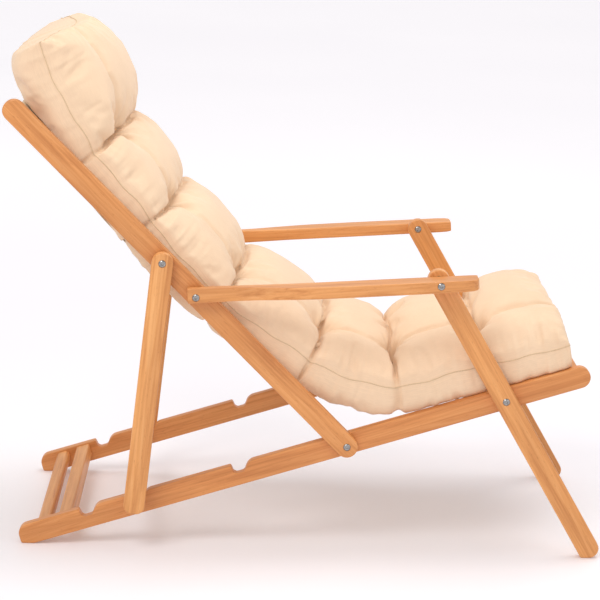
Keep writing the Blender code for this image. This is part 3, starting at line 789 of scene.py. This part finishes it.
MOST_LIFT = 0.05            # the most that a point is lifted off the canvas
NEAREST_STEP = 4            # every fourth point of the sling's line is near enough
CHUNK = 20000


def tuft_folds(tufts, rng):
    """Height of the folds that radiate from the tufts."""
    rise = 0.0
    for along_m, across_m in tufts:
        far = np.hypot(along_m, across_m)
        angle = np.arctan2(across_m, along_m)
        folds = 0.0
        for count in FOLD_COUNTS:
            phase, weight = rng.uniform(0, 2 * math.pi), rng.uniform(0.5, 1.0)
            twist = far * rng.uniform(-FOLD_TWIST, FOLD_TWIST)
            folds = folds + weight * np.cos(count * angle + phase + twist)
        reach = np.exp(-far / FOLD_FADE) * (1 - np.exp(-far / FOLD_RISE))
        rise = rise + FOLD_HEIGHT * folds * reach
    return rise


def seam_gathers(from_side, from_end, along_m, across_m, facing, rng):
    """Height of the small gathers along the seam, weaker on the underside."""
    edge = np.minimum(from_side, from_end)
    at_end = from_end < from_side
    travel = np.where(at_end, across_m, along_m)
    gather = 0.0
    for frequency, weight in GATHER_WAVES:
        phase, drift = rng.uniform(0, 6.28), rng.uniform(-GATHER_DRIFT, GATHER_DRIFT)
        turn = 2 * math.pi * frequency * travel + phase + drift * edge
        gather = gather + weight * np.sin(turn)
    envelope = np.exp(-edge / GATHER_FADE) * (1 - np.exp(-edge / GATHER_RISE))
    wide, narrow = (np.sin(travel * rate + phase) for rate, phase in GATHER_PATCHES)
    patchy = 0.5 + 0.5 * wide * narrow
    calm = np.clip(1.0 + GATHER_CALM * facing, GATHER_LEAST, 1.0)
    height = np.where(at_end, GATHER_HEIGHT_END, GATHER_HEIGHT)
    return height * gather * envelope * patchy * calm


def row_creases(along_m, across_m, edge, facing, shape):
    """Depth of the tight creases along the rows, which nearly vanish on the underside."""
    depth, wide = CREASE_PINCH
    wander = sum(size * np.sin(across_m * rate + phase) for size, rate, phase in CREASE_WANDER)
    tight = np.clip(CREASE_FACING * (1 + facing), CREASE_LEAST, 1.0)
    tight = tight * np.clip(edge / CREASE_FADE, 0, 1)
    total = 0.0
    for index, row in enumerate(shape.rows):
        line = along_m - row * shape.length + wander * (-1) ** index
        total = total + depth * bell(line, wide) * tight
    return total


def wrinkle(item, shape):
    """Folds round the tufts, gathers along the seam and creases along the rows."""
    mesh = item.data
    points, normals = per_vertex(mesh, "co"), per_vertex(mesh, "normal")
    along_m, across_m = cloth_coordinates(mesh).T
    share, across = along_m / shape.length, across_m / HALF_WIDTH
    facing = (normals[:, [0, 2]] * shape.at(share, shape.normal)).sum(1)
    from_side = HALF_WIDTH - np.abs(across_m)
    from_end = np.minimum(along_m, shape.length - along_m)
    edge = np.minimum(from_side, from_end)
    tufts = list(shape.tuft_offsets(share, across))
    rng = np.random.default_rng(WRINKLE_SEED)
    rise = tuft_folds(tufts, rng)
    rise += seam_gathers(from_side, from_end, along_m, across_m, facing, rng)
    rise -= SEAM_PINCH[0] * bell(edge, SEAM_PINCH[1])
    rise -= row_creases(along_m, across_m, edge, facing, shape)
    for tuft in tufts:
        rise -= TUFT_PINCH[0] * bell(np.hypot(*tuft), TUFT_PINCH[1])
    points += normals * rise[:, None]
    settle(points, hung_line())
    mesh.vertices.foreach_set("co", points.ravel())
    mesh.update()
    return points


def nearest_indices(points, line):
    """Index of each point's nearest point on a line, worked out in chunks to save memory."""
    out = np.empty(len(points), int)
    for first in range(0, len(points), CHUNK):
        gap = points[first: first + CHUNK, None] - line[None]
        out[first: first + CHUNK] = np.argmin((gap**2).sum(-1), 1)
    return out


def settle(points, line):
    """Keep the cushion on the sling, on the rail tops, off the top bar and between the stiles."""
    points[:, 1] = np.clip(points[:, 1], -WIDEST, WIDEST)
    flat = points[:, [0, 2]]
    size = np.abs(points[:, 1])
    sparse, facing = line[::NEAREST_STEP], normals_of(line)[::NEAREST_STEP]
    index = nearest_indices(flat, sparse)
    offset = ((flat - sparse[index]) * facing[index]).sum(-1)
    floor = SLING_CLEAR - np.maximum(0.0, size - SLING_HALF - PAST_HEM) * SAG_PAST_HEM
    beside = (index > 0) & (index < len(sparse) - 1)
    lift = np.where(beside, np.clip(floor - offset, 0.0, MOST_LIFT), 0.0)
    flat = flat + facing[index] * lift[:, None]
    over_rail = (size > RAIL_REACH) & ((flat - BACK_PIVOT) @ ALONG_RAIL > RAIL_FROM)
    short = RAIL_REST - (flat - BACK_PIVOT) @ ABOVE_RAIL
    lift = np.where(over_rail, np.maximum(0.0, short), 0.0)
    flat = flat + lift[:, None] * ABOVE_RAIL
    from_bar = np.abs((flat - BACK_PIVOT) @ ALONG_BACK - TOP_BAR_AT)
    beyond = np.clip((from_bar - TOP_BAR_REACH) / TOP_BAR_FADE, 0, 1)
    short = TOP_BAR_CLEAR - TOP_BAR_DROP * beyond - (flat - BACK_PIVOT) @ OUT_OF_BACK
    lift = np.where(beyond < 1, np.maximum(0.0, short), 0.0)
    points[:, [0, 2]] = flat + lift[:, None] * OUT_OF_BACK


SEAM_RADIUS = 0.0011
SEAM_SIDES = 6
THREAD_SEED = 3
THREAD_TURN = 0.3           # radians by which a tuft's thread may be off square
TUFT_THREAD = {"length": 0.010, "radius": 0.0009, "rings": 5, "sides": 8}


def build_cushion():
    """The long tufted cushion, its seam and its tuft threads."""
    cotton = woven(
        "cushion_cotton", (0.86, 0.640, 0.440), thread=0.00055, relief=0.00012, rough=0.86,
        slub=0.035, sheen=0.25,
    )
    shape = CushionShape()
    verts, faces, place, is_top = cushion_grid(shape)
    uv = place * (shape.length, HALF_WIDTH)
    cushion = new_object("cushion", mesh_from("cushion", verts, faces, uv), cotton)
    inflate(cushion, hold_weights(place, is_top, shape))
    subdivided(cushion)
    points = wrinkle(cushion, shape)
    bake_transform(cushion)
    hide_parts("cushion_seat", "cushion_back")

    cord_verts, cord_faces = tube(rim_points(points), SEAM_RADIUS, SEAM_SIDES, True)
    yarn = thread_material("seam_thread", (0.76, 0.56, 0.35))
    seam = new_object("cushion_seam", mesh_from("cushion_seam", cord_verts, cord_faces), yarn)
    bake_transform(seam)
    build_tuft_threads(points[: len(place)], place, is_top, shape)


def build_tuft_threads(points, place, is_top, shape):
    """Crossed threads at the bottom of each tuft, above and below."""
    rng = np.random.default_rng(THREAD_SEED)
    tangents = np.gradient(shape.path, axis=0)
    pieces = []
    for number, offsets in enumerate(shape.tuft_offsets(*place.T)):
        row = shape.rows[number // len(TUFT_COLUMNS)]
        tangent = in_space(shape.at(row, tangents), 0.0)
        tangent = tangent / np.linalg.norm(tangent)
        away = np.hypot(*offsets)
        for top in (True, False):
            centre = points[np.argmin(np.where(is_top == top, away, np.inf))]
            for quarter in (0.0, 1.0):
                turn = rng.uniform(-THREAD_TURN, THREAD_TURN) + quarter * math.pi / 2
                axis = tangent * math.cos(turn) + np.array([0, 1.0, 0]) * math.sin(turn)
                pieces.append(capsule(centre, axis, **TUFT_THREAD))
    yarn = thread_material("tuft_thread", (0.30, 0.20, 0.12))
    item = joined("cushion_tuft_threads", pieces, yarn)
    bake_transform(item)


# --- sling --------------------------------------------------------------------------
SLING_SAMPLES = 700
SLING_BLUR = 2.0            # samples over which the bends round the bars are eased
SLING_ROWS = 380
SLING_COLUMNS = 41
RIPPLE = 0.0006             # height of the ripples along the hems
RIPPLE_RATE = 41.0          # radians per metre
RIPPLE_REACH = 0.02
STITCH_PITCH = 0.006
STITCH_INSETS = (0.004, 0.016)    # the two rows of stitches in each hem
STITCH_ENDS = 8             # stitches left out at each end
STITCH_PROUD = 0.0002       # height of a stitch's centre above the canvas
STITCH = {"length": 0.0042, "radius": 0.0004, "rings": 3, "sides": 4}


def sling_path():
    """Side-plane path of the whole canvas, round the top bar and under the front bar."""
    line = np.vstack([
        [on_stile(*point) for point in TOP_LOOP], hung_line(),
        [on_rail(*point) for point in FRONT_LOOP],
    ])
    return resample(gaussian(resample(line, SLING_SAMPLES), SLING_BLUR), SLING_ROWS)


def sling_mesh(path, length):
    """Closed thin sheet along the path, with small ripples along its hems."""
    normal = normals_of(path)
    across = np.linspace(-SLING_HALF, SLING_HALF, SLING_COLUMNS)
    travel = np.linspace(0, length, SLING_ROWS)
    near_hem = bell(SLING_HALF - np.abs(across), RIPPLE_REACH)
    ripple = RIPPLE * np.outer(np.sin(travel * RIPPLE_RATE), near_hem)
    layers = []
    for sign in (1.0, -1.0):
        offset = sign * SLING_THICK / 2 + ripple
        flat = path[:, None] + normal[:, None] * offset[..., None]
        y = np.broadcast_to(across, offset.shape)
        layers.append(np.stack([flat[..., 0], y, flat[..., 1]], -1).reshape(-1, 3))
    count = SLING_ROWS * SLING_COLUMNS
    index = np.arange(count).reshape(SLING_ROWS, SLING_COLUMNS)
    faces = grid_quads(index, False) + grid_quads(index + count, True)
    loop = [int(vertex) for vertex in rim_loop(index)]
    for one, two in zip(loop, loop[1:] + loop[:1]):
        faces.append([one, two, two + count, one + count])
    uv = np.stack(np.meshgrid(travel, across, indexing="ij"), -1).reshape(-1, 2)
    mesh = mesh_from("sling", np.vstack(layers), faces, np.vstack([uv, uv]))
    work = bmesh.new()
    work.from_mesh(mesh)
    bmesh.ops.recalc_face_normals(work, faces=work.faces)
    work.to_mesh(mesh)
    work.free()
    return mesh


def build_sling():
    """Canvas sling with sewn hems."""
    path = sling_path()
    length = path_length(path)
    canvas = woven(
        "sling_canvas", (0.74, 0.60, 0.43), thread=0.0009, relief=0.00022, rough=0.92,
        slub=0.1, sheen=0.1,
    )
    sling = new_object("sling", sling_mesh(path, length), canvas)
    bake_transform(sling)
    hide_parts("sling_back", "sling_seat")
    stitches = build_hem_stitches(path, length)


def build_hem_stitches(path, length):
    """Rows of raised stitches along both long hems, on the underside."""
    count = int(length / STITCH_PITCH)
    even = resample(path, count)
    spots = even - normals_of(even) * (SLING_THICK / 2 + STITCH_PROUD)
    tangents = tangents_of(even)
    pieces = []
    for side in (-1.0, 1.0):
        for inset in STITCH_INSETS:
            y = side * (SLING_HALF - inset)
            for station in range(STITCH_ENDS, count - STITCH_ENDS):
                axis = in_space(tangents[station], 0.0)
                pieces.append(capsule(in_space(spots[station], y), axis, **STITCH))
    item = joined("sling_stitches", pieces, thread_material("hem_thread", (0.82, 0.74, 0.60)))
    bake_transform(item)
    return item


# --- studio -------------------------------------------------------------------------
CAMERA_PLACE = Vector((-0.13151, -4.15424, 1.33742))
CAMERA_TARGET = Vector((-0.00835, 0.0, 0.42207))
CAMERA_ROLL = 1.705         # degrees
LENS = 132.25               # millimetres, as is the sensor's width
SENSOR = 36.0
SKY_COLOUR = (1.0, 0.99, 1.0, 1.0)
SKY_LIGHT = 0.66            # how strongly the sky lights the scene
SKY_SEEN = 0.98             # how bright it looks behind the floor's far edge
FLOOR_HALF = 60.0
FLOOR_LEVEL = -0.0005
FLOOR_TONES = ((0.3, (0.87, 0.845, 0.875)), (0.7, (0.90, 0.875, 0.90)))
GLOW_COLOUR = (1.0, 0.98, 1.0, 1.0)
# the floor's own glow rises from the chair out to the white background
GLOW = {"From Min": 0.8, "From Max": 4.5, "To Min": 0.09, "To Max": 0.36}
LIGHTS = {
    # place, what it looks at, size, watts, colour
    "key": ((-1.5, -2.4, 3.3), (0.0, 0.0, 0.4), 1.6, 52.0, (1.0, 0.98, 0.96)),
    "top": ((0.7, 0.6, 3.4), (0.0, 0.0, 0.3), 2.2, 46.0, WHITE),
    "fill": ((3.0, -2.0, 1.8), (0.0, 0.0, 0.4), 2.0, 10.0, WHITE),
}


def build_camera():
    """Camera at the fitted viewpoint, turned slightly about its own axis."""
    data = bpy.data.cameras.new("camera")
    data.lens = LENS
    data.sensor_width = SENSOR
    camera = bpy.data.objects.new("camera", data)
    bpy.context.collection.objects.link(camera)
    aim = (CAMERA_TARGET - CAMERA_PLACE).to_track_quat("-Z", "Y")
    roll = Quaternion((0.0, 0.0, 1.0), math.radians(CAMERA_ROLL))
    camera.location = CAMERA_PLACE
    camera.rotation_euler = (aim @ roll).to_euler()
    bpy.context.scene.camera = camera


def area_light(name, place, target, size, power, colour):
    """Soft square light that looks at a point."""
    data = bpy.data.lights.new(name, "AREA")
    data.size = size
    data.energy = power
    data.color = colour
    light = bpy.data.objects.new(name, data)
    bpy.context.collection.objects.link(light)
    light.location = place
    aim = Vector(target) - Vector(place)
    light.rotation_euler = aim.to_track_quat("-Z", "Y").to_euler()


def build_floor():
    """Pale floor that glows more with distance."""
    corners = [(-1, -1), (1, -1), (1, 1), (-1, 1)]
    verts = np.array([(x * FLOOR_HALF, y * FLOOR_HALF, FLOOR_LEVEL) for x, y in corners])
    n = Nodes("studio_floor")
    spot = n.coordinates("Object")
    away = n.add("ShaderNodeVectorMath", {0: spot}, operation="LENGTH").outputs["Value"]
    glow = n.add("ShaderNodeMapRange", {"Value": away, **GLOW}, interpolation_type="SMOOTHSTEP")
    n.surface(
        Base_Color=n.ramp(n.noise(spot, scale=0.6, detail=2.0), FLOOR_TONES),
        Roughness=0.55,
        Emission_Color=GLOW_COLOUR, Emission_Strength=glow.outputs["Result"],
    )
    mesh = bpy.data.meshes.new("studio_floor")
    mesh.from_pydata(verts.tolist(), [], [(0, 1, 2, 3)])
    new_object("studio_floor", mesh, n.material)


def build_sky():
    """White surroundings: one strength to light the scene, another where the camera sees them."""
    world = bpy.data.worlds.new("studio")
    bpy.context.scene.world = world
    world.use_nodes = True
    tree = world.node_tree
    background = tree.nodes["Background"]
    background.inputs["Color"].default_value = SKY_COLOUR
    strength = tree.nodes.new("ShaderNodeMapRange")
    strength.inputs["To Min"].default_value = SKY_LIGHT
    strength.inputs["To Max"].default_value = SKY_SEEN
    rays = tree.nodes.new("ShaderNodeLightPath")
    tree.links.new(rays.outputs["Is Camera Ray"], strength.inputs["Value"])
    tree.links.new(strength.outputs["Result"], background.inputs["Strength"])


def build_studio():
    """Floor, sky and soft lights, shown without a film curve."""
    build_floor()
    build_sky()
    bpy.context.scene.view_settings.view_transform = "Standard"
    for name, settings in LIGHTS.items():
        area_light(name, *settings)


build_camera()
build_studio()
dress_frame()
build_cushion()
build_sling()
